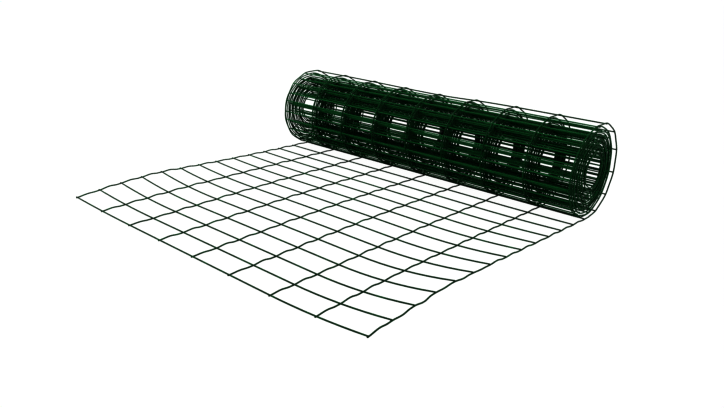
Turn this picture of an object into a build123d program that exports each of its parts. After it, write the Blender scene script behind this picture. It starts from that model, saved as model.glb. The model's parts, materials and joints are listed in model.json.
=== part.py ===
from build123d import *
import os
from math import asin, atan2, cos, degrees, hypot, pi, sin, sqrt

# A roll of welded wire fencing, lying on the floor with its free end drawn out flat.
# X runs along the roll, Y from the free end towards the roll, Z up, all in millimetres.

# The mesh as it is sold: line wires run the length of the sheet, cross wires across it
wire_d = 2.5                # coated wire, modelled with a square section
line_pitch = 100.0
line_cells = 8
cross_pitch = 50.0
weld_sink = 0.8             # how far a cross wire is pressed into a line wire
crimp_height = 1.5          # one kink in each cell of a line wire, on its upper side

# The tight part of the roll
bore_r = 29.0
bore_shift = 7.5            # the bore lies this much behind the axis, so the turns are closer at the back
turns = 18
turn_pitch = 3.58
ring_relief = 4.0           # how far the turns stand out of the roll's ends
axis_setback = 12.6         # the tight roll lies this much in front of the loose turn's axis

# The loose outer turn and the stretch on the floor
loose_slack = 3.75          # how much larger the loose turn's radius is than the tight roll's
flat_run = 671.0            # from the first cross wire to where the sheet leaves the floor
seat_gap = 0.3              # clearance between the tight roll and what touches it

# Curl of the two side edges: lift at the free end, at the crest, and how fast it fades
crest_run = 200.0           # from the free end to the crest
curl_width = 200.0          # how far in from an edge the curl reaches
near_edge = {"end": 12.0, "crest": 23.0, "fade": 1.1}
far_edge = {"end": 4.0, "crest": 15.0, "fade": 1.6}

# The kink's outline within one cell: share of the cell, share of the height
crimp_outline = [(0.0, 0.0), (0.3, 0.65), (0.48, 1.0), (0.68, 0.3), (0.85, 0.0)]

half_width = (line_cells * line_pitch + wire_d) / 2
line_xs = [line_pitch * (i - line_cells / 2) for i in range(line_cells + 1)]
cross_lift = wire_d - weld_sink                      # the cross wires lie this far up
ring_rs = [bore_r + cross_lift + wire_d / 2 + turn_pitch * n for n in range(turns)]
core_r = ring_rs[-1] + wire_d / 2
loose_r = core_r + loose_slack
total_length = wire_d / 2 + flat_run + loose_r
free_y = wire_d / 2 - total_length / 2
loose_y = free_y + flat_run
loose_z = loose_r
pressed_cell = int(flat_run // cross_pitch)          # the roll's weight presses its kinks flat


def sheet_at(run, height):
    """A point in the YZ plane, by its distance along the sheet and its height above the sheet's outside."""
    if run <= flat_run:
        return free_y + run, height
    angle = (run - flat_run) / (loose_r - wire_d / 2) - pi / 2
    r = loose_r - height
    return loose_y + r * cos(angle), loose_z + r * sin(angle)


def edge_curl(x, run):
    """Lift of the flat stretch above the floor."""
    edge = near_edge if x > 0 else far_edge
    reach = max(0.0, abs(x) - (line_cells * line_pitch / 2 - curl_width)) / curl_width
    if run < crest_run:
        lift = edge["end"] + (edge["crest"] - edge["end"]) * sin(pi / 2 * run / crest_run)
    else:
        fall_run = cross_pitch * pressed_cell - crest_run
        lift = edge["crest"] * max(0.0, 1 - (run - crest_run) / fall_run) ** edge["fade"]
    return lift * reach**2


def crimp(run):
    """Height of a line wire's kink, at a distance along the sheet."""
    cell, share = divmod(run / cross_pitch, 1)
    if int(cell) == pressed_cell:
        return 0.0
    outline = crimp_outline + [(1.0, crimp_outline[0][1])]
    for (a, low), (b, high) in zip(outline, outline[1:]):
        if share <= b:
            return crimp_height * (low + (high - low) * (share - a) / (b - a))


def stations(start, end):
    """Distances along the sheet at which a line wire bends, its two ends included."""
    cells = range(int(start // cross_pitch), int(end // cross_pitch) + 1)
    bends = [cross_pitch * (cell + share) for cell in cells for share, _ in crimp_outline]
    return [start] + [run for run in bends if start < run < end] + [end]


def line_wire_outline(x, start, end):
    """Closed side view of a line wire between two distances along the sheet."""
    heights = [(run, edge_curl(x, run) + crimp(run)) for run in stations(start, end)]
    lower = [sheet_at(run, height) for run, height in heights]
    upper = [sheet_at(run, height + wire_d) for run, height in heights]
    return upper + lower[::-1] + upper[:1]


def cross_wire_outline(run):
    """Closed front view of a cross wire on the flat stretch, bent up with the two side edges."""
    inner_xs = [line_pitch * (k - line_cells) / 2 for k in range(1, 2 * line_cells)]
    under = [(x, cross_lift + edge_curl(x, run)) for x in [-half_width] + inner_xs + [half_width]]
    over = [(x, z + wire_d) for x, z in under]
    return under + over[::-1] + under[:1]


# The tight roll lies in the loose turn, lowered until it meets the sheet below it
core_y = loose_y - axis_setback
under_runs = [cross_pitch * (pressed_cell + k) + side * wire_d / 2 for k in (-1, 0, 1) for side in (-1, 1)]
under_points = [sheet_at(run, cross_lift + wire_d) for run in under_runs]
under_points += [sheet_at(run, crimp(run) + wire_d) for run in stations(under_runs[0], under_runs[-1])]
core_z = max(z + sqrt((core_r + seat_gap) ** 2 - (y - core_y) ** 2) for y, z in under_points)

# The loose turn ends where the outside of the sheet sinks into the tight roll
centre_gap = hypot(loose_y - core_y, loose_z - core_z)
gap_angle = atan2(loose_z - core_z, loose_y - core_y)
past_side = (loose_r**2 - core_r**2 + centre_gap**2) / (2 * centre_gap)
merge_angle = gap_angle + pi / 2 + asin(past_side / loose_r)
merge_run = flat_run + (merge_angle + pi / 2) * (loose_r - wire_d / 2)

# Distances along the sheet of the cross wires that stand clear of the tight roll
cross_runs = [cross_pitch * j for j in range(int(merge_run // cross_pitch) + 1)]
flat_runs = [run for run in cross_runs if run <= flat_run]
loose_runs = []
for run in cross_runs[len(flat_runs):]:
    y, z = sheet_at(run, cross_lift + wire_d / 2)
    if hypot(y - core_y, z - core_z) > core_r:
        loose_runs.append(run)

# Tight roll: turned about its own axis, with the outermost turn's line wires standing proud of it
core_plane = Plane(origin=(0, core_y, core_z), x_dir=(1, 0, 0), z_dir=(0, -1, 0))
body_r = core_r - cross_lift
body_half = half_width - ring_relief
with BuildPart() as rolled_mesh:
    with BuildSketch(core_plane):
        with Locations((0, body_r / 2)):
            Rectangle(2 * body_half, body_r)
        for x in line_xs[1:-1]:
            with Locations((x, core_r / 2)):
                Rectangle(wire_d, core_r)
    revolve(axis=Axis((0, core_y, core_z), (1, 0, 0)))
    # Each turn is a ring standing out of both ends, its centre nearer the bore's the further in it lies
    for side in (-1, 1):
        with BuildSketch(Plane.YZ.offset(side * body_half)):
            for n in reversed(range(turns)):
                inwardness = 1 - n / max(1, turns - 1)
                with Locations((core_y + bore_shift * inwardness, core_z)):
                    Circle(ring_rs[n] + wire_d / 2)
                    Circle(ring_rs[n] - wire_d / 2, mode=Mode.SUBTRACT)
        extrude(amount=side * ring_relief)
    with BuildSketch(Plane.YZ):
        with Locations((core_y + bore_shift, core_z)):
            Circle(bore_r)
    extrude(amount=half_width, both=True, mode=Mode.SUBTRACT)
rolled_mesh.part.label = "rolled_mesh"

# Flat stretch: the line wires lie on the floor and carry the cross wires
with BuildPart() as flat_mesh:
    for x in line_xs:
        with BuildSketch(Plane.YZ.offset(x)):
            with BuildLine():
                Polyline(*line_wire_outline(x, -wire_d / 2, flat_run))
            make_face()
    for run in flat_runs:
        with BuildSketch(Plane(origin=(0, free_y + run, 0), x_dir=(1, 0, 0), z_dir=(0, -1, 0))):
            with BuildLine():
                Polyline(*cross_wire_outline(run))
            make_face()
    extrude(amount=wire_d / 2, both=True)
flat_mesh.part.label = "flat_mesh"

# Loose turn: the same sheet, from the floor up the back and over the top of the roll
with BuildPart() as loose_turn:
    for x in line_xs:
        with BuildSketch(Plane.YZ.offset(x)):
            with BuildLine():
                Polyline(*line_wire_outline(x, flat_run, merge_run))
            make_face()
    extrude(amount=wire_d / 2, both=True)
    with BuildSketch(Plane.YZ):
        for run in loose_runs:
            y, z = sheet_at(run, cross_lift + wire_d / 2)
            turned = degrees(atan2(z - loose_z, y - loose_y))
            with Locations(Location((y, z), turned)):
                Rectangle(wire_d, wire_d)
    extrude(amount=half_width, both=True)
    with BuildSketch(Plane.YZ):
        with Locations((core_y, core_z)):
            Circle(core_r + seat_gap)
    extrude(amount=half_width + wire_d, both=True, mode=Mode.SUBTRACT)
loose_turn.part.label = "loose_turn"

sheet_length = merge_run + sum(2 * pi * ring_r for ring_r in ring_rs)
print(f"tight roll: outside {core_r:.2f}, axis at y {core_y:.2f}, bore at y {core_y + bore_shift:.2f}, z {core_z:.2f}")
print(f"loose turn: outside {loose_r:.2f}, axis at y {loose_y:.2f}, ends at {degrees(merge_angle):.1f} degrees")
print(f"bore {bore_r:.2f} by {2 * body_half:.2f}, whole sheet {sheet_length:.0f} long")

os.makedirs("parts", exist_ok=True)
export_step(rolled_mesh.part, "parts/rolled_mesh.step")
export_step(flat_mesh.part, "parts/flat_mesh.step")
export_step(loose_turn.part, "parts/loose_turn.step")
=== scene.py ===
"""Roll of plastic-coated welded wire fencing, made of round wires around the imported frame."""
import json
from math import cos, exp, pi, radians, sin

import bpy
import numpy as np
from mathutils import Matrix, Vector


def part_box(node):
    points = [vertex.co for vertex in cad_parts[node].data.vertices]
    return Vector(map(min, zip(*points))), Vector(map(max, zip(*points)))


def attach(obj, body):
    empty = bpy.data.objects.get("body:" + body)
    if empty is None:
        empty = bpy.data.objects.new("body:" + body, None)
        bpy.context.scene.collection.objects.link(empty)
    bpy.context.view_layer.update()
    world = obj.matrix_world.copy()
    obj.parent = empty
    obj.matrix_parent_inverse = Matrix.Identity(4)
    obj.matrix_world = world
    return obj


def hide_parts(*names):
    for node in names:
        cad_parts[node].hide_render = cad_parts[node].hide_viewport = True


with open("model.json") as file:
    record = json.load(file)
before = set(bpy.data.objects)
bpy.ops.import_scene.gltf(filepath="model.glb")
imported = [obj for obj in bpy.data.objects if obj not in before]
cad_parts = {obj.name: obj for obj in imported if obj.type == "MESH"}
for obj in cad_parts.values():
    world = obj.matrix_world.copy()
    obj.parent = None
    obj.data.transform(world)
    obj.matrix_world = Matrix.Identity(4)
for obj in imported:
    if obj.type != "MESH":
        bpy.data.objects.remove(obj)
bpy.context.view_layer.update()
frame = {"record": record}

bl_info = {
    "name": "Wire Fencing Roll",
    "version": (1, 0, 0),
    "blender": (4, 5, 0),
    "location": "View3D > Sidebar > Fencing",
    "description": "Dresses the roll of wire fencing with round coated wires and their welds",
    "category": "Add Mesh",
}

# Sizes that the frame gives, in metres
FLAT_LOW, FLAT_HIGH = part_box("flat_mesh")
TIGHT_LOW, TIGHT_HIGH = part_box("rolled_mesh")
TIGHT_CENTRE = (TIGHT_LOW + TIGHT_HIGH) / 2
BORE = next(mount for mount in frame["record"]["mounts"] if mount["name"] == "bore")
BORE_RADIUS = 0.001 * BORE["dims"]["r_mm"]
BORE_Y, BORE_Z = BORE["pos_m"][1:]


class FencingMesh(bpy.types.PropertyGroup):
    """The welded mesh as it is sold."""
    wire_diameter: bpy.props.FloatProperty(
        name="Wire Diameter", description="Coated wire", default=0.0025, min=0.0005, unit="LENGTH")
    line_pitch: bpy.props.FloatProperty(
        name="Line Wire Pitch", description="Between two line wires", default=0.1, min=0.01, unit="LENGTH")
    line_cells: bpy.props.IntProperty(
        name="Cells Across", description="Cells across the sheet's width", default=8, min=1)
    cross_pitch: bpy.props.FloatProperty(
        name="Cross Wire Pitch", description="Between two cross wires", default=0.05, min=0.01, unit="LENGTH")
    weld_sink: bpy.props.FloatProperty(
        name="Weld Sink", description="How far a cross wire is pressed into a line wire",
        default=0.0008, min=0.0, unit="LENGTH")
    weld_size: bpy.props.FloatVectorProperty(
        name="Weld Size", description="Along the line wire, along the cross wire and through the sheet",
        default=(0.0038, 0.0036, 0.0030), size=3, subtype="XYZ_LENGTH")
    kink_height: bpy.props.FloatProperty(
        name="Kink Height", description="Mean height of the one kink in each cell",
        default=0.0016, unit="LENGTH")
    kink_spread: bpy.props.FloatProperty(
        name="Kink Spread", description="How much the kinks differ in height", default=0.0006, unit="LENGTH")
    kink_peak: bpy.props.FloatProperty(
        name="Kink Peak", description="Place of the kink's top in its cell", default=0.48, subtype="FACTOR")
    kink_end: bpy.props.FloatProperty(
        name="Kink End", description="Where the kink has come down again", default=0.84, subtype="FACTOR")
    seed: bpy.props.IntProperty(name="Seed", description="Of everything that varies by chance", default=7)


class FencingRoll(bpy.types.PropertyGroup):
    """How the sheet is rolled up."""
    turns: bpy.props.FloatProperty(
        name="Tight Turns", description="Turns of the tight part of the roll", default=17.951, min=1.0)
    loose_slack: bpy.props.FloatProperty(
        name="Loose Slack", description="How much larger the loose turn's radius is than the tight roll's",
        default=0.00375, unit="LENGTH")
    loose_until: bpy.props.FloatProperty(
        name="Loose Until", description="Part of a turn after which the loose turn closes in",
        default=0.434, subtype="FACTOR")
    tight_from: bpy.props.FloatProperty(
        name="Tight From", description="Part of a turn at which the sheet lies on the tight roll",
        default=0.60, subtype="FACTOR")
    crowding: bpy.props.FloatProperty(
        name="Crowding", description="Above 1 the outer turns lie closer, below 1 the inner ones",
        default=1.008)
    bunch: bpy.props.FloatProperty(
        name="Bunch", description="How far turns draw together in groups", default=0.00099, unit="LENGTH")
    bunch_turns: bpy.props.FloatProperty(
        name="Bunch Turns", description="Turns from one group to the next", default=3.932, min=1.0)
    bunch_start: bpy.props.FloatProperty(
        name="Bunch Start", description="Where the groups begin", default=4.236, subtype="ANGLE")
    waviness: bpy.props.FloatProperty(
        name="Waviness", description="How far a turn strays from a true spiral",
        default=0.00089, unit="LENGTH")
    wave_start: bpy.props.FloatVectorProperty(
        name="Wave Start", description="Where the twofold and the threefold wave begin",
        default=(5.648, 3.407), size=2, subtype="NONE")
    wave_drift: bpy.props.FloatVectorProperty(
        name="Wave Drift", description="How far each wave moves on from turn to turn",
        default=(0.404, 0.836), size=2, subtype="NONE")
    back_gap: bpy.props.FloatProperty(
        name="Back Gap", description="How far the inner turns draw away from the outer ones at the back",
        default=0.0018, unit="LENGTH")
    back_gap_after: bpy.props.FloatProperty(
        name="Back Gap After", description="Turns outside the gap, counted from the floor", default=1.9)
    back_gap_side: bpy.props.FloatProperty(
        name="Back Gap Side", description="Which way the gap faces, from the back upwards",
        default=0.40, subtype="ANGLE")
    near_gap: bpy.props.FloatProperty(
        name="Near Gap", description="How much further the inner turns draw away at the near end",
        default=0.008, unit="LENGTH")
    near_gap_after: bpy.props.FloatProperty(
        name="Near Gap After", description="Turns outside the near gap, counted from the floor",
        default=1.9)
    near_gap_side: bpy.props.FloatProperty(
        name="Near Gap Side", description="Which way the near gap faces, from the back upwards",
        default=-0.26, subtype="ANGLE")
    loose_straightness: bpy.props.FloatProperty(
        name="Loose Straightness",
        description="How straight the loose turn's line wires stay between cross wires",
        default=0.3, subtype="FACTOR")
    tight_straightness: bpy.props.FloatProperty(
        name="Tight Straightness", description="How straight the tight turns' line wires stay",
        default=0.1, subtype="FACTOR")
    rolled_kink: bpy.props.FloatProperty(
        name="Rolled Kink", description="Share of a kink's height that is left where the sheet is rolled",
        default=0.55, subtype="FACTOR")
    top_sag: bpy.props.FloatProperty(
        name="Top Sag", description="How far the loose turn sinks onto the tight roll halfway along the top",
        default=0.004, unit="LENGTH")
    sag_reach: bpy.props.FloatVectorProperty(
        name="Sag Reach", description="How far the sag reaches towards the far and the near end",
        default=(0.20, 0.10), size=2, unit="LENGTH")
    cross_stray: bpy.props.FloatProperty(
        name="Cross Wire Stray", description="How far a cross wire's ends stray along the sheet",
        default=0.0007, unit="LENGTH")
    near_setback: bpy.props.FloatProperty(
        name="Near Setback", description="How far the near edges of some turns lie back from the roll's end",
        default=0.003, unit="LENGTH")
    far_setback: bpy.props.FloatProperty(
        name="Far Setback", description="How far the far edges lie back from the roll's other end",
        default=0.011, unit="LENGTH")
    sway: bpy.props.FloatProperty(
        name="Sway", description="How far the tight turns wander along the roll",
        default=0.0004, unit="LENGTH")


class FencingFlat(bpy.types.PropertyGroup):
    """The stretch that lies on the floor, with its two side edges curled up."""
    crest_run: bpy.props.FloatProperty(
        name="Crest Run", description="From the free end to the curl's crest", default=0.2, unit="LENGTH")
    curl_width: bpy.props.FloatProperty(
        name="Curl Width", description="How far in from an edge the curl reaches", default=0.2, unit="LENGTH")
    near_edge: bpy.props.FloatVectorProperty(
        name="Near Edge", description="Lift at the free end and at the crest", default=(0.012, 0.023),
        size=2, unit="LENGTH")
    near_fade: bpy.props.FloatProperty(
        name="Near Fade", description="How fast the near curl fades", default=1.1)
    far_edge: bpy.props.FloatVectorProperty(
        name="Far Edge", description="Lift at the free end and at the crest", default=(0.004, 0.015),
        size=2, unit="LENGTH")
    far_fade: bpy.props.FloatProperty(
        name="Far Fade", description="How fast the far curl fades", default=1.6)
    swell: bpy.props.FloatProperty(
        name="Swell", description="Low wave in the middle of the stretch", default=0.003, unit="LENGTH")


class FencingFinish(bpy.types.PropertyGroup):
    """Colours of the coating, of two darkened copies of it that paint shade, and of the studio."""
    coat: bpy.props.FloatVectorProperty(
        name="Coating", description="Dark green plastic",
        default=(0.010, 0.140, 0.045), size=3, subtype="COLOR")
    coat_pale: bpy.props.FloatVectorProperty(
        name="Pale Coating", description="Where the coating is rubbed or dusty",
        default=(0.030, 0.220, 0.080), size=3, subtype="COLOR")
    # Painted shade: the same green coating darkened for the rolled line wires, as if they lay in shadow in
    # the roll
    line_painted_shade_coat: bpy.props.FloatVectorProperty(
        name="Line Wire Painted Shade", description="The same coating where the line wires lie stacked in the roll",
        default=(0.005, 0.070, 0.022), size=3, subtype="COLOR")
    # Painted shade: the same green coating darkened for the flat stretch and the loose turn, so that they
    # stand dark against the bright floor
    flat_painted_shade_coat: bpy.props.FloatVectorProperty(
        name="Flat Painted Shade", description="The same coating where it stands dark against the bright floor",
        default=(0.002, 0.022, 0.007), size=3, subtype="COLOR")
    gloss: bpy.props.FloatProperty(
        name="Gloss", description="Strength of the coating's reflections", default=0.25, subtype="FACTOR")
    floor: bpy.props.FloatVectorProperty(
        name="Floor", description="Pale studio floor", default=(0.9, 0.9, 0.9), size=3, subtype="COLOR")
    floor_glow: bpy.props.FloatProperty(
        name="Floor Glow", description="Light that the floor gives off, so that shadows stay faint",
        default=0.98)
    floor_bounce: bpy.props.FloatProperty(
        name="Floor Bounce", description="Share of the light that the floor throws up at the wires",
        default=0.65, subtype="FACTOR")


class FencingStage(bpy.types.PropertyGroup):
    """Camera and light."""
    camera_place: bpy.props.FloatVectorProperty(
        name="Camera Place", description="Where the camera stands", default=(0.9297, -0.9980, 0.5022),
        size=3, subtype="XYZ_LENGTH")
    camera_azimuth: bpy.props.FloatProperty(
        name="Azimuth", description="Turn of the view about the vertical",
        default=radians(41.61), subtype="ANGLE")
    camera_drop: bpy.props.FloatProperty(
        name="Drop", description="How far the view looks down",
        default=radians(20.27), subtype="ANGLE")
    camera_roll: bpy.props.FloatProperty(
        name="Roll", description="Turn of the picture", default=radians(1.37), subtype="ANGLE")
    lens: bpy.props.FloatProperty(
        name="Lens", description="Focal length in mm on a sensor 36 mm wide", default=34.63)
    daylight: bpy.props.FloatProperty(
        name="Daylight", description="Strength of the white surroundings", default=1.4)
    softbox: bpy.props.FloatProperty(
        name="Softbox", description="Power of the large lamp overhead", default=40.0, unit="POWER")
    contrast: bpy.props.FloatProperty(
        name="Contrast", description="Gamma of the picture: below 1 it darkens the dark parts", default=0.4)


def props(name):
    return getattr(bpy.context.scene, "fencing_" + name)


def smooth_step(value, start, end):
    """0 before start, 1 after end, and a smooth rise between them."""
    share = np.clip((value - start) / (end - start), 0.0, 1.0)
    return share * share * (3 - 2 * share)


class SheetPath:
    """Where the sheet's outer side runs, from its free end along the floor and round the roll."""

    steps_per_turn = 180
    # Turns over which the waves set in, and over which a gap opens
    settling_turns = 2
    gap_opening_turns = 0.5
    # Share of the waves that the innermost turn has lost, and the threefold wave's share of the twofold
    inner_calm = 0.5
    threefold_share = 0.8

    def __init__(self):
        mesh, roll = props("mesh"), props("roll")
        self.lift = mesh.wire_diameter - mesh.weld_sink
        self.free_y = FLAT_LOW.y + mesh.wire_diameter / 2
        self.flat_run = FLAT_HIGH.y - self.free_y
        turn_count = roll.tight_from + roll.turns
        self.turns = np.linspace(0, turn_count, int(turn_count * self.steps_per_turn) + 1)
        angles = 2 * pi * self.turns - pi / 2
        tightness = smooth_step(self.turns, roll.loose_until, roll.tight_from)
        inwardness = np.clip((self.turns - roll.tight_from) / roll.turns, 0, 1) ** roll.crowding
        self.inwardness = inwardness
        self.radii = self.turn_radii(angles, tightness, inwardness)

        loose_radius = self.radii[0]
        centre_y = FLAT_HIGH.y + tightness * (TIGHT_CENTRE.y - FLAT_HIGH.y)
        centre_y += inwardness * (BORE_Y - TIGHT_CENTRE.y)
        centre_z = loose_radius + tightness * (TIGHT_CENTRE.z - loose_radius)
        centre_z += inwardness * (BORE_Z - TIGHT_CENTRE.z)
        self.points = np.column_stack(
            [centre_y + self.radii * np.cos(angles), centre_z + self.radii * np.sin(angles)])
        lengths = np.hypot(*np.diff(self.points, axis=0).T)
        lengths *= 1 - mesh.wire_diameter / (self.radii[1:] + self.radii[:-1])
        self.runs = self.flat_run + np.concatenate([[0], np.cumsum(lengths)])
        tangents = np.gradient(self.points, self.runs, axis=0)
        tangents /= np.hypot(*tangents.T)[:, None]
        self.inward = np.column_stack([-tangents[:, 1], tangents[:, 0]])
        self.cross_count = int(self.runs[-1] // mesh.cross_pitch) + 1
        self.loose_end = np.interp(roll.tight_from, self.turns, self.runs)

    def turn_radii(self, angles, tightness, inwardness):
        """Radius all along the spiral: loose, then tight, with waves, groups and a gap at the back."""
        mesh, roll = props("mesh"), props("roll")
        tight_radius = (TIGHT_HIGH.z - TIGHT_LOW.z) / 2
        inner_radius = BORE_RADIUS + self.lift + mesh.wire_diameter
        radii = tight_radius + (1 - tightness) * roll.loose_slack - inwardness * (tight_radius - inner_radius)
        settled = smooth_step(self.turns, roll.tight_from, roll.tight_from + self.settling_turns)
        settled *= 1 - self.inner_calm * inwardness
        (twofold, threefold), (two_drift, three_drift) = roll.wave_start, roll.wave_drift
        waves = np.sin(2 * angles + twofold + two_drift * self.turns)
        waves += self.threefold_share * np.sin(3 * angles + threefold + three_drift * self.turns)
        groups = np.sin(2 * pi * self.turns / roll.bunch_turns + roll.bunch_start)
        facing = 0.5 + 0.5 * np.cos(angles - roll.back_gap_side)
        opened = smooth_step(
            self.turns, roll.back_gap_after, roll.back_gap_after + self.gap_opening_turns)
        gap = opened * (1 - inwardness) * facing
        return radii + settled * (roll.waviness * waves + roll.bunch * groups) - roll.back_gap * gap

    def radius(self, run):
        return np.interp(run, self.runs, self.radii)

    def turn(self, run):
        return np.interp(run, self.runs, self.turns)

    def at(self, run, height):
        """Y and Z of a point, by its distance along the sheet and its height on the inner side."""
        if run <= self.flat_run:
            return self.free_y + run, height
        y, z = (np.interp(run, self.runs, self.points[:, k]) for k in (0, 1))
        normal_y, normal_z = (np.interp(run, self.runs, self.inward[:, k]) for k in (0, 1))
        return y + height * normal_y, z + height * normal_z


def pressed_cell():
    """The cell of the flat stretch whose kinks the roll's weight presses flat."""
    return int((FLAT_HIGH.y - FLAT_LOW.y) // props("mesh").cross_pitch)


def edge_curl(x, run):
    """Lift of the flat stretch above the floor."""
    mesh, flat = props("mesh"), props("flat")
    half = mesh.line_cells * mesh.line_pitch / 2
    (end, crest), fade = (flat.near_edge, flat.near_fade) if x > 0 else (flat.far_edge, flat.far_fade)
    reach = max(0.0, abs(x) - (half - flat.curl_width)) / flat.curl_width
    flat_end = mesh.cross_pitch * pressed_cell()
    if run < flat.crest_run:
        lift = end + (crest - end) * sin(pi / 2 * max(run, 0.0) / flat.crest_run)
    else:
        lift = crest * max(0.0, 1 - (run - flat.crest_run) / (flat_end - flat.crest_run)) ** fade
    swell = flat.swell * sin(pi * min(1.0, max(0.0, run) / flat_end)) ** 2 * (1 - (x / half) ** 2)
    return lift * reach**2 + swell


def kink(share):
    """Outline of one kink, from 0 at a cross wire to 1 at its top."""
    mesh = props("mesh")
    if share < mesh.kink_peak:
        return 0.5 - 0.5 * cos(pi * share / mesh.kink_peak)
    if share < mesh.kink_end:
        return 0.5 + 0.5 * cos(pi * (share - mesh.kink_peak) / (mesh.kink_end - mesh.kink_peak))
    return 0.0


class Sheet:
    """The whole sheet: every point of every wire, and how the wires stray from true."""

    # How fast the two edges and the sway change from turn to turn, and how much the far edge does
    near_beat, far_beat, sway_beat = 2.4, 1.9, 9.7
    far_spread = 0.15
    # Where along the roll the near gap begins and where it is fully open
    near_gap_start, near_gap_full = 0.1, 0.35
    # Heights of the first kinks on the near edge, where most bend downwards
    near_edge_kinks = (0.0020, -0.0020, -0.0032, -0.0010, -0.0017, -0.0006)

    def __init__(self):
        mesh = props("mesh")
        self.path = SheetPath()
        self.lines = [mesh.line_pitch * (i - mesh.line_cells / 2) for i in range(mesh.line_cells + 1)]
        self.half_width = (mesh.line_cells * mesh.line_pitch + mesh.wire_diameter) / 2
        chance = np.random.RandomState(mesh.seed)
        shape = (len(self.lines), self.path.cross_count + 1)
        self.kinks = mesh.kink_height + mesh.kink_spread * chance.uniform(-1, 1, shape)
        self.kinks[:, pressed_cell()] = 0
        self.kinks[-1, :len(self.near_edge_kinks)] = self.near_edge_kinks
        self.slant = chance.uniform(-1, 1, shape[1])
        self.bow = chance.uniform(-1, 1, shape[1])

    def stray(self, x, cross):
        """How far a cross wire strays along the sheet at a place of its length."""
        roll = props("roll")
        run = cross * props("mesh").cross_pitch
        amount = roll.cross_stray * smooth_step(run, self.path.flat_run, self.path.loose_end)
        across = x / self.half_width
        return amount * (self.slant[cross] * across + 0.5 * self.bow[cross] * (1 - across**2))

    def shifted(self, x, run):
        """Place along the roll: on the tight turns both edges lie back a little, each turn differently."""
        if run <= self.path.flat_run:
            return x
        roll = props("roll")
        turn = self.path.turn(run)
        tight = smooth_step(turn, roll.loose_until, roll.tight_from + 0.1)
        near = roll.near_setback * tight * (0.5 - 0.5 * cos(self.near_beat * turn))
        far = roll.far_setback * tight * (1 - self.far_spread + self.far_spread * cos(self.far_beat * turn))
        share = 0.5 + 0.5 * x / self.half_width
        sway = roll.sway * tight * 4 * share * (1 - share) * sin(self.sway_beat * turn)
        return x + far * (1 - share) - near * share + sway

    def inset(self, x, run):
        """How far a point lies further in than its turn does."""
        roll = props("roll")
        turn = self.path.turn(run)
        # The loose turn sinks onto the tight roll on top, most of all halfway along it
        on_top = smooth_step(turn, 0.25, roll.loose_until) * (1 - smooth_step(turn, 0.5, roll.tight_from))
        sag = roll.top_sag * on_top * exp(-((x / roll.sag_reach[0 if x < 0 else 1]) ** 2))
        # Towards the near end the gap between the outer and the inner turns widens, at the back
        outside = 1 - np.interp(run, self.path.runs, self.path.inwardness)
        opened = smooth_step(
            turn, roll.near_gap_after, roll.near_gap_after + self.path.gap_opening_turns)
        facing = 0.5 + 0.5 * sin(2 * pi * turn - roll.near_gap_side)
        near = smooth_step(x, self.near_gap_start, self.near_gap_full)
        return sag + roll.near_gap * outside * opened * facing**2 * near

    def point(self, x, run, height):
        """A point of the sheet in the row frame."""
        if run > self.path.flat_run:
            height += self.inset(x, run)
        y, z = self.path.at(run, height)
        if run <= self.path.flat_run:
            z += edge_curl(x, run)
        return self.shifted(x, run), y, z

    def line_point(self, line, run):
        """Centre of a line wire at a distance along the sheet."""
        mesh, roll = props("mesh"), props("roll")
        cell, share = divmod(run / mesh.cross_pitch, 1)
        cell = int(cell)
        kink_height = self.kinks[line, max(cell, 0)] * kink(share)
        height = mesh.wire_diameter / 2 + kink_height
        if run > self.path.flat_run:
            height -= (1 - roll.rolled_kink) * kink_height
            straightness = roll.loose_straightness if run < self.path.loose_end else roll.tight_straightness
            sag = mesh.cross_pitch**2 / (8 * self.path.radius(run))
            height += straightness * sag * 4 * share * (1 - share)
        x = self.lines[line]
        drift = self.stray(x, max(cell, 0)) * (1 - share) + self.stray(x, max(cell, 0) + 1) * share
        return self.point(x, run + drift, height)

    def cross_point(self, cross, x):
        """Centre of a cross wire at a place of its length."""
        mesh = props("mesh")
        run = cross * mesh.cross_pitch + self.stray(x, cross)
        return self.point(x, run, mesh.wire_diameter / 2 + self.path.lift)


class Skeleton:
    """Centre lines of wires and places of welds, as one mesh of loose edges and points."""

    # Share of the wire's full thickness at a rounded end and at the point before it
    end_scale, shoulder_scale = 0.55, 0.9

    def __init__(self):
        self.points, self.edges, self.tips = [], [], []
        self.weld_points, self.weld_along = [], []

    def wire(self, points, start_tip=False, end_tip=False):
        """A wire through these points. A tip is an end that shows, and is rounded."""
        first = len(self.points)
        self.points += points
        self.edges += [(first + k, first + k + 1) for k in range(len(points) - 1)]
        scales = [1.0] * len(points)
        if start_tip:
            scales[:2] = [self.end_scale, self.shoulder_scale]
        if end_tip:
            scales[-2:] = [self.shoulder_scale, self.end_scale]
        self.tips += scales

    def weld(self, point, along):
        self.weld_points.append(point)
        self.weld_along.append(along)

    def to_object(self, name):
        data = bpy.data.meshes.new(name)
        data.from_pydata(self.points + self.weld_points, self.edges, [])
        count = len(self.points)
        total = count + len(self.weld_points)
        tip = data.attributes.new("tip", "FLOAT", "POINT")
        tip.data.foreach_set("value", self.tips + [1.0] * len(self.weld_points))
        is_weld = data.attributes.new("is_weld", "BOOLEAN", "POINT")
        is_weld.data.foreach_set("value", [k >= count for k in range(total)])
        along = data.attributes.new("weld_along", "FLOAT_VECTOR", "POINT")
        flat_along = [0.0] * (3 * count) + [value for vector in self.weld_along for value in vector]
        along.data.foreach_set("vector", flat_along)
        obj = bpy.data.objects.new(name, data)
        bpy.context.scene.collection.objects.link(obj)
        return obj


def tree_socket(tree, name, socket_type, default=None):
    socket = tree.interface.new_socket(name=name, in_out="INPUT", socket_type=socket_type)
    if default is not None:
        socket.default_value = default


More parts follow.
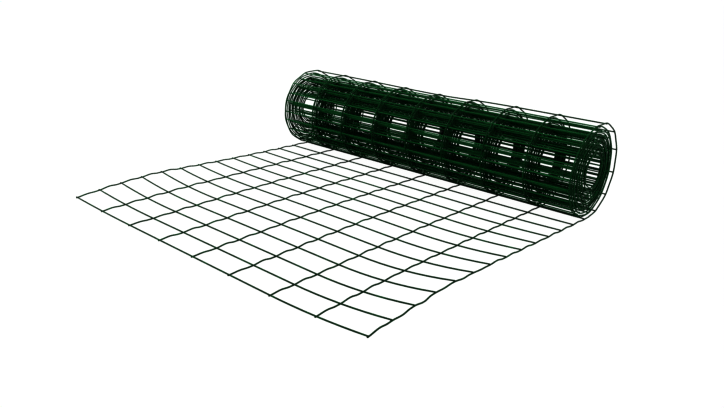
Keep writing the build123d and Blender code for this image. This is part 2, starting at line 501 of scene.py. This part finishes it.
def coated_wires_tree():
    """Geometry Nodes: centre lines become round coated wires, with a bead of coating at every weld."""
    tree = bpy.data.node_groups.new("Coated Wires", "GeometryNodeTree")
    tree_socket(tree, "Skeleton", "NodeSocketGeometry")
    tree_socket(tree, "Wire Diameter", "NodeSocketFloat", 0.0025)
    tree_socket(tree, "Wire Sides", "NodeSocketInt", 8)
    tree_socket(tree, "Weld Size", "NodeSocketVector", (0.004, 0.004, 0.003))
    tree_socket(tree, "Weld Segments", "NodeSocketInt", 8)
    tree_socket(tree, "Wire Material", "NodeSocketMaterial")
    tree_socket(tree, "Weld Material", "NodeSocketMaterial")
    tree.interface.new_socket(name="Geometry", in_out="OUTPUT", socket_type="NodeSocketGeometry")
    nodes, link = tree.nodes, tree.links.new

    def node(kind, **settings):
        made = nodes.new(kind)
        for key, value in settings.items():
            setattr(made, key, value)
        return made

    given = node("NodeGroupInput").outputs
    tip = node("GeometryNodeInputNamedAttribute", data_type="FLOAT")
    tip.inputs["Name"].default_value = "tip"
    is_weld = node("GeometryNodeInputNamedAttribute", data_type="BOOLEAN")
    is_weld.inputs["Name"].default_value = "is_weld"
    weld_along = node("GeometryNodeInputNamedAttribute", data_type="FLOAT_VECTOR")
    weld_along.inputs["Name"].default_value = "weld_along"

    centre_lines = node("GeometryNodeMeshToCurve")
    link(given["Skeleton"], centre_lines.inputs["Mesh"])
    spline = node("GeometryNodeSplineParameter")
    keep_along = node("GeometryNodeStoreNamedAttribute", data_type="FLOAT", domain="POINT")
    keep_along.inputs["Name"].default_value = "along"
    link(centre_lines.outputs["Curve"], keep_along.inputs["Geometry"])
    link(spline.outputs["Length"], keep_along.inputs["Value"])

    half = node("ShaderNodeMath", operation="MULTIPLY")
    half.inputs[1].default_value = 0.5
    link(given["Wire Diameter"], half.inputs[0])
    section = node("GeometryNodeCurvePrimitiveCircle", mode="RADIUS")
    link(given["Wire Sides"], section.inputs["Resolution"])
    link(half.outputs[0], section.inputs["Radius"])
    around = node("ShaderNodeVectorMath", operation="NORMALIZE")
    link(node("GeometryNodeInputPosition").outputs["Position"], around.inputs[0])
    keep_around = node("GeometryNodeStoreNamedAttribute", data_type="FLOAT_VECTOR", domain="POINT")
    keep_around.inputs["Name"].default_value = "around"
    link(section.outputs["Curve"], keep_around.inputs["Geometry"])
    link(around.outputs["Vector"], keep_around.inputs["Value"])

    sweep = node("GeometryNodeCurveToMesh")
    sweep.inputs["Fill Caps"].default_value = True
    link(keep_along.outputs["Geometry"], sweep.inputs["Curve"])
    link(keep_around.outputs["Geometry"], sweep.inputs["Profile Curve"])
    link(tip.outputs["Attribute"], sweep.inputs["Scale"])

    bead = node("GeometryNodeMeshUVSphere")
    bead.inputs["Radius"].default_value = 0.5
    link(given["Weld Segments"], bead.inputs["Segments"])
    rings = node("ShaderNodeMath", operation="MULTIPLY")
    rings.inputs[1].default_value = 0.5
    link(given["Weld Segments"], rings.inputs[0])
    link(rings.outputs[0], bead.inputs["Rings"])
    sized = node("GeometryNodeTransform")
    link(bead.outputs["Mesh"], sized.inputs["Geometry"])
    link(given["Weld Size"], sized.inputs["Scale"])
    weld_points = node("GeometryNodeMeshToPoints")
    link(given["Skeleton"], weld_points.inputs["Mesh"])
    link(is_weld.outputs["Attribute"], weld_points.inputs["Selection"])
    turned = node("FunctionNodeAxesToRotation", primary_axis="X", secondary_axis="Y")
    turned.inputs["Secondary Axis"].default_value = (1, 0, 0)
    link(weld_along.outputs["Attribute"], turned.inputs["Primary Axis"])
    beads = node("GeometryNodeInstanceOnPoints")
    link(weld_points.outputs["Points"], beads.inputs["Points"])
    link(sized.outputs["Geometry"], beads.inputs["Instance"])
    link(turned.outputs["Rotation"], beads.inputs["Rotation"])
    mark = node("GeometryNodeStoreNamedAttribute", data_type="BOOLEAN", domain="INSTANCE")
    mark.inputs["Name"].default_value = "weld"
    mark.inputs["Value"].default_value = True
    link(beads.outputs["Instances"], mark.inputs["Geometry"])

    joined = node("GeometryNodeJoinGeometry")
    link(mark.outputs["Geometry"], joined.inputs["Geometry"])
    link(sweep.outputs["Mesh"], joined.inputs["Geometry"])
    real = node("GeometryNodeRealizeInstances")
    link(joined.outputs["Geometry"], real.inputs["Geometry"])
    smooth = node("GeometryNodeSetShadeSmooth")
    link(real.outputs["Geometry"], smooth.inputs["Geometry"])
    coat_all = node("GeometryNodeSetMaterial")
    link(smooth.outputs["Geometry"], coat_all.inputs["Geometry"])
    link(given["Wire Material"], coat_all.inputs["Material"])
    weld_mark = node("GeometryNodeInputNamedAttribute", data_type="BOOLEAN")
    weld_mark.inputs["Name"].default_value = "weld"
    coat_welds = node("GeometryNodeSetMaterial")
    link(coat_all.outputs["Geometry"], coat_welds.inputs["Geometry"])
    link(weld_mark.outputs["Attribute"], coat_welds.inputs["Selection"])
    link(given["Weld Material"], coat_welds.inputs["Material"])
    link(coat_welds.outputs["Geometry"], node("NodeGroupOutput").inputs["Geometry"])
    return tree


def wires_from(skeleton, name, sides, weld_segments=8):
    """Runs the node tree on a skeleton and keeps its result as a plain mesh."""
    mesh, finish = props("mesh"), props("finish")
    coats = {
        # The flat stretch and the loose turn get a darkened copy of the coating that paints shade
        "flat_wires": (finish.flat_painted_shade_coat, "flat_painted_shade_coating"),
        "loose_turn_wires": (finish.flat_painted_shade_coat, "flat_painted_shade_coating"),
        # The rolled line wires get the darkened copy of the coating that paints their shade
        "rolled_line_wires": (finish.line_painted_shade_coat, "line_painted_shade_coating"),
    }
    coat = coats.get(name, (finish.coat, "green_coating"))
    tree = bpy.data.node_groups.get("Coated Wires") or coated_wires_tree()
    source = skeleton.to_object(name + "_skeleton")
    modifier = source.modifiers.new("wires", "NODES")
    modifier.node_group = tree
    values = {
        "Wire Diameter": mesh.wire_diameter,
        "Wire Sides": sides,
        "Weld Size": tuple(mesh.weld_size),
        "Weld Segments": weld_segments,
        "Wire Material": green_coating(*coat),
        "Weld Material": weld_coating(*coat),
    }
    for item in tree.interface.items_tree:
        if item.in_out == "INPUT" and item.name in values:
            modifier[item.identifier] = values[item.name]
    graph = bpy.context.evaluated_depsgraph_get()
    data = bpy.data.meshes.new_from_object(source.evaluated_get(graph), depsgraph=graph)
    source.modifiers.remove(modifier)
    bpy.data.objects.remove(source)
    data.name = name
    obj = bpy.data.objects.new(name, data)
    bpy.context.scene.collection.objects.link(obj)
    return obj


def coating_group():
    """Shader group of the plastic coating: streaks along the wire, mottling, and rubbed or dusty places."""
    group = bpy.data.node_groups.get("Coating")
    if group:
        return group
    group = bpy.data.node_groups.new("Coating", "ShaderNodeTree")
    for name, kind in (("Colour", "NodeSocketColor"), ("Pale Colour", "NodeSocketColor"),
                       ("Streaks", "NodeSocketFloat"), ("Dust", "NodeSocketFloat"),
                       ("Roughness", "NodeSocketFloat")):
        group.interface.new_socket(name=name, in_out="INPUT", socket_type=kind)
    for name, kind in (("Colour", "NodeSocketColor"), ("Roughness", "NodeSocketFloat"),
                       ("Height", "NodeSocketFloat")):
        group.interface.new_socket(name=name, in_out="OUTPUT", socket_type=kind)
    nodes, link = group.nodes, group.links.new
    given = nodes.new("NodeGroupInput").outputs
    put_out = nodes.new("NodeGroupOutput").inputs

    def attribute(name, output):
        made = nodes.new("ShaderNodeAttribute")
        made.attribute_name = name
        return made.outputs[output]

    def calculate(operation, *values, clamp=False):
        made = nodes.new("ShaderNodeMath")
        made.operation = operation
        made.use_clamp = clamp
        for socket, value in zip(made.inputs, values):
            if isinstance(value, bpy.types.NodeSocket):
                link(value, socket)
            else:
                socket.default_value = value
        return made.outputs[0]

    def noise(vector, scale, detail):
        made = nodes.new("ShaderNodeTexNoise")
        made.inputs["Scale"].default_value = scale
        made.inputs["Detail"].default_value = detail
        link(vector, made.inputs["Vector"])
        return made.outputs["Fac"]

    # Streaks change fast around the wire and slowly along it
    streak_place = nodes.new("ShaderNodeCombineXYZ")
    around = nodes.new("ShaderNodeSeparateXYZ")
    link(attribute("around", "Vector"), around.inputs["Vector"])
    link(around.outputs["X"], streak_place.inputs["X"])
    link(around.outputs["Y"], streak_place.inputs["Y"])
    link(calculate("MULTIPLY", attribute("along", "Fac"), 12.0), streak_place.inputs["Z"])
    streaks = noise(streak_place.outputs["Vector"], scale=4.0, detail=2.0)

    place = nodes.new("ShaderNodeTexCoord").outputs["Object"]
    mottling = noise(place, scale=55.0, detail=4.0)
    orange_peel = noise(place, scale=1400.0, detail=2.0)

    rubbed = nodes.new("ShaderNodeMapRange")
    rubbed.inputs["From Min"].default_value = 0.52
    rubbed.inputs["From Max"].default_value = 0.72
    link(mottling, rubbed.inputs["Value"])
    dust = calculate("MULTIPLY", rubbed.outputs["Result"], given["Dust"])
    streak_amount = calculate("MULTIPLY", streaks, given["Streaks"])
    paleness = calculate("ADD", dust, streak_amount, clamp=True)

    colour = nodes.new("ShaderNodeMix")
    colour.data_type = "RGBA"
    colour_a, colour_b, mixed = colour.inputs[6], colour.inputs[7], colour.outputs[2]
    link(paleness, colour.inputs["Factor"])
    link(given["Colour"], colour_a)
    link(given["Pale Colour"], colour_b)
    link(mixed, put_out["Colour"])
    link(calculate("MULTIPLY_ADD", paleness, 0.25, given["Roughness"]), put_out["Roughness"])
    link(calculate("MULTIPLY_ADD", streaks, 0.6, orange_peel), put_out["Height"])
    return group


def coating_material(name, colour, streaks, dust, roughness, bump):
    """A finish of the green coating, with its own strength of streaks, dust and gloss."""
    made = bpy.data.materials.get(name)
    if made:
        return made
    finish = props("finish")
    made = bpy.data.materials.new(name)
    made.use_nodes = True
    nodes, link = made.node_tree.nodes, made.node_tree.links.new
    shader = nodes["Principled BSDF"]
    coating = nodes.new("ShaderNodeGroup")
    coating.node_tree = coating_group()
    coating.inputs["Colour"].default_value = (*colour, 1)
    coating.inputs["Pale Colour"].default_value = (*finish.coat_pale, 1)
    coating.inputs["Streaks"].default_value = streaks
    coating.inputs["Dust"].default_value = dust
    coating.inputs["Roughness"].default_value = roughness
    link(coating.outputs["Colour"], shader.inputs["Base Color"])
    link(coating.outputs["Roughness"], shader.inputs["Roughness"])
    relief = nodes.new("ShaderNodeBump")
    relief.inputs["Strength"].default_value = bump
    relief.inputs["Distance"].default_value = 0.00008
    link(coating.outputs["Height"], relief.inputs["Height"])
    link(relief.outputs["Normal"], shader.inputs["Normal"])
    shader.inputs["IOR"].default_value = 1.5
    shader.inputs["Specular IOR Level"].default_value = finish.gloss
    return made


def green_coating(colour, name):
    return coating_material(name + "_wire", colour, streaks=0.35, dust=0.35, roughness=0.3, bump=0.5)


def weld_coating(colour, name):
    return coating_material(name + "_weld", colour, streaks=0.0, dust=0.55, roughness=0.24, bump=0.35)


def studio_floor():
    """Pale floor that reads as white, with little light thrown back up from it."""
    finish = props("finish")
    made = bpy.data.materials.new("studio_floor")
    made.use_nodes = True
    nodes, link = made.node_tree.nodes, made.node_tree.links.new
    seen = nodes["Principled BSDF"]
    # The floor shows by its own glow, and hardly by the light and the shadows that fall on it
    lit_share = 0.03
    seen.inputs["Base Color"].default_value = (*[lit_share * part for part in finish.floor], 1)
    seen.inputs["Roughness"].default_value = 1.0
    seen.inputs["Specular IOR Level"].default_value = 0.0
    seen.inputs["Emission Color"].default_value = (1, 1, 1, 1)
    seen.inputs["Emission Strength"].default_value = finish.floor_glow
    thrown = nodes.new("ShaderNodeBsdfDiffuse")
    thrown.inputs["Color"].default_value = (*[finish.floor_bounce] * 3, 1)
    pick = nodes.new("ShaderNodeMixShader")
    link(nodes.new("ShaderNodeLightPath").outputs["Is Camera Ray"], pick.inputs["Fac"])
    link(thrown.outputs["BSDF"], pick.inputs[1])
    link(seen.outputs["BSDF"], pick.inputs[2])
    link(pick.outputs["Shader"], nodes["Material Output"].inputs["Surface"])
    return made


def shares(count):
    """Places in a cell at which a line wire has a point, its end left out."""
    return [k / count for k in range(count)]


def line_run_points(sheet, line, start_cross, end_cross, per_cell):
    """Centre line of a line wire between two cross wires."""
    pitch = props("mesh").cross_pitch
    runs = [pitch * (cell + share) for cell in range(start_cross, end_cross) for share in shares(per_cell)]
    return [sheet.line_point(line, run) for run in runs + [pitch * end_cross]]


def tip_length():
    """How far back from a wire's cut end its rounding reaches."""
    return props("mesh").wire_diameter * 0.3


def cross_points(sheet, cross, per_cell):
    """Centre line of a cross wire from the far edge of the sheet to the near one."""
    mesh = props("mesh")
    steps = range(1, per_cell * mesh.line_cells)
    inner = [mesh.line_pitch * (k / per_cell - mesh.line_cells / 2) for k in steps]
    tip = tip_length()
    # A tip that curls up leans outwards, so it ends a little short of the edge
    lean = 0.0002
    end = sheet.half_width - lean
    xs = [-end, tip - end, *inner, end - tip, end]
    return [sheet.cross_point(cross, x) for x in xs]


def add_welds(skeleton, sheet, cross):
    """One weld where each line wire meets this cross wire."""
    mesh = props("mesh")
    height = (mesh.wire_diameter + sheet.path.lift) / 2
    edge_x = sheet.half_width - mesh.weld_size[1] / 2
    first_run = (mesh.weld_size[0] - mesh.wire_diameter) / 2
    step = 0.0005
    for x in np.clip(sheet.lines, -edge_x, edge_x):
        run = max(first_run, cross * mesh.cross_pitch + sheet.stray(x, cross))
        before, after = (np.array(sheet.point(x, place, height)) for place in (run - step, run + step))
        skeleton.weld(sheet.point(x, run, height), (0.0, *(after - before)[1:]))


class FENCING_OT_flat_stretch(bpy.types.Operator):
    """Make the stretch of mesh that lies on the floor"""
    bl_idname = "fencing.flat_stretch"
    bl_label = "Flat Stretch"

    def execute(self, context):
        mesh = props("mesh")
        sheet = Sheet()
        last = int(sheet.path.flat_run // mesh.cross_pitch)
        skeleton = Skeleton()
        end_run = mesh.wire_diameter / 2
        for line in range(len(sheet.lines)):
            points = line_run_points(sheet, line, 0, last, per_cell=16)
            x, y, z = points[0]
            ends = [(x, y - end_run, z), (x, y - end_run + tip_length(), z)]
            up_to_roll = np.linspace(last * mesh.cross_pitch, sheet.path.flat_run, num=5)[1:]
            points += [sheet.line_point(line, run) for run in up_to_roll]
            skeleton.wire(ends + points, start_tip=True)
        for cross in range(last + 1):
            skeleton.wire(cross_points(sheet, cross, per_cell=4), start_tip=True, end_tip=True)
            add_welds(skeleton, sheet, cross)
        piece = wires_from(skeleton, "flat_wires", sides=12, weld_segments=12)
        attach(piece, "root")
        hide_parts("flat_mesh")
        return {"FINISHED"}


class FENCING_OT_loose_turn(bpy.types.Operator):
    """Make the loose outermost turn"""
    bl_idname = "fencing.loose_turn"
    bl_label = "Loose Turn"

    def execute(self, context):
        mesh = props("mesh")
        sheet = Sheet()
        first = int(sheet.path.flat_run // mesh.cross_pitch) + 1
        last = int(sheet.path.loose_end // mesh.cross_pitch)
        skeleton = Skeleton()
        for line in range(len(sheet.lines)):
            from_floor = np.linspace(sheet.path.flat_run, first * mesh.cross_pitch, num=8)[:-1]
            points = [sheet.line_point(line, run) for run in from_floor]
            points += line_run_points(sheet, line, first, last, per_cell=14)
            skeleton.wire(points)
        for cross in range(first, last):
            skeleton.wire(cross_points(sheet, cross, per_cell=4), start_tip=True, end_tip=True)
            add_welds(skeleton, sheet, cross)
        piece = wires_from(skeleton, "loose_turn_wires", sides=12, weld_segments=12)
        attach(piece, "root")
        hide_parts("loose_turn")
        return {"FINISHED"}


class FENCING_OT_tight_roll(bpy.types.Operator):
    """Make the line wires and the cross wires of the tight turns"""
    bl_idname = "fencing.tight_roll"
    bl_label = "Tight Roll"

    def execute(self, context):
        mesh = props("mesh")
        sheet = Sheet()
        first = int(sheet.path.loose_end // mesh.cross_pitch)
        last = sheet.path.cross_count - 1
        lines = Skeleton()
        for line in range(len(sheet.lines)):
            lines.wire(line_run_points(sheet, line, first, last, per_cell=8), end_tip=True)
        line_piece = wires_from(lines, "rolled_line_wires", sides=7)
        crosses = Skeleton()
        for cross in range(first, last + 1):
            crosses.wire(cross_points(sheet, cross, per_cell=2), start_tip=True, end_tip=True)
            add_welds(crosses, sheet, cross)
        cross_piece = wires_from(crosses, "rolled_cross_wires", sides=7, weld_segments=6)
        for piece in (line_piece, cross_piece):
            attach(piece, "root")
            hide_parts("rolled_mesh")
        return {"FINISHED"}


class FENCING_OT_stage(bpy.types.Operator):
    """Set up the pale floor, the soft light and the camera"""
    bl_idname = "fencing.stage"
    bl_label = "Stage"

    def execute(self, context):
        scene = context.scene
        stage, finish = props("stage"), props("finish")
        half, below = 12.0, -0.0002
        floor_data = bpy.data.meshes.new("studio_floor")
        corners = [(-half, -half, below), (half, -half, below), (half, half, below), (-half, half, below)]
        floor_data.from_pydata(corners, [], [(0, 1, 2, 3)])
        floor = bpy.data.objects.new("studio_floor", floor_data)
        scene.collection.objects.link(floor)
        floor_data.materials.append(studio_floor())

        world = bpy.data.worlds.new("white_studio")
        world.use_nodes = True
        background = world.node_tree.nodes["Background"]
        background.inputs["Color"].default_value = (1, 1, 1, 1)
        background.inputs["Strength"].default_value = stage.daylight
        scene.world = world

        lamp_data = bpy.data.lights.new("softbox", "AREA")
        lamp_data.shape = "SQUARE"
        lamp_data.size = 2.4
        lamp_data.energy = stage.softbox
        lamp = bpy.data.objects.new("softbox", lamp_data)
        lamp_place, lamp_tilt = (-0.6, -0.3, 2.6), radians(-12)
        lamp.matrix_world = Matrix.Translation(lamp_place) @ Matrix.Rotation(lamp_tilt, 4, "Y")
        scene.collection.objects.link(lamp)

        camera_data = bpy.data.cameras.new("camera")
        camera_data.lens = stage.lens
        camera_data.sensor_width = 36.0
        camera_data.sensor_fit = "HORIZONTAL"
        camera = bpy.data.objects.new("camera", camera_data)
        camera.matrix_world = (
            Matrix.Translation(stage.camera_place)
            @ Matrix.Rotation(stage.camera_azimuth, 4, "Z")
            @ Matrix.Rotation(pi / 2 - stage.camera_drop, 4, "X")
            @ Matrix.Rotation(stage.camera_roll, 4, "Z")
        )
        scene.collection.objects.link(camera)
        scene.camera = camera
        scene.view_settings.view_transform = "Standard"
        scene.view_settings.gamma = stage.contrast
        return {"FINISHED"}


class FENCING_PT_panel(bpy.types.Panel):
    """Lists the pieces of the roll and its sizes"""
    bl_label = "Wire Fencing Roll"
    bl_idname = "FENCING_PT_panel"
    bl_space_type = "VIEW_3D"
    bl_region_type = "UI"
    bl_category = "Fencing"

    def draw(self, context):
        for operator in OPERATORS:
            self.layout.operator(operator.bl_idname)
        for name, group in GROUPS.items():
            box = self.layout.box()
            box.label(text=name.title())
            for key in group.__annotations__:
                box.prop(props(name), key)


GROUPS = {
    "mesh": FencingMesh,
    "roll": FencingRoll,
    "flat": FencingFlat,
    "finish": FencingFinish,
    "stage": FencingStage,
}
OPERATORS = [FENCING_OT_flat_stretch, FENCING_OT_loose_turn, FENCING_OT_tight_roll, FENCING_OT_stage]


def register():
    for cls in [*GROUPS.values(), *OPERATORS, FENCING_PT_panel]:
        bpy.utils.register_class(cls)
    for name, group in GROUPS.items():
        setattr(bpy.types.Scene, "fencing_" + name, bpy.props.PointerProperty(type=group))


def unregister():
    for name in GROUPS:
        delattr(bpy.types.Scene, "fencing_" + name)
    for cls in [FENCING_PT_panel, *reversed(OPERATORS), *reversed(GROUPS.values())]:
        bpy.utils.unregister_class(cls)


def main():
    register()
    bpy.ops.fencing.flat_stretch()
    bpy.ops.fencing.loose_turn()
    bpy.ops.fencing.tight_roll()
    bpy.ops.fencing.stage()


if __name__ == "__main__":
    main()
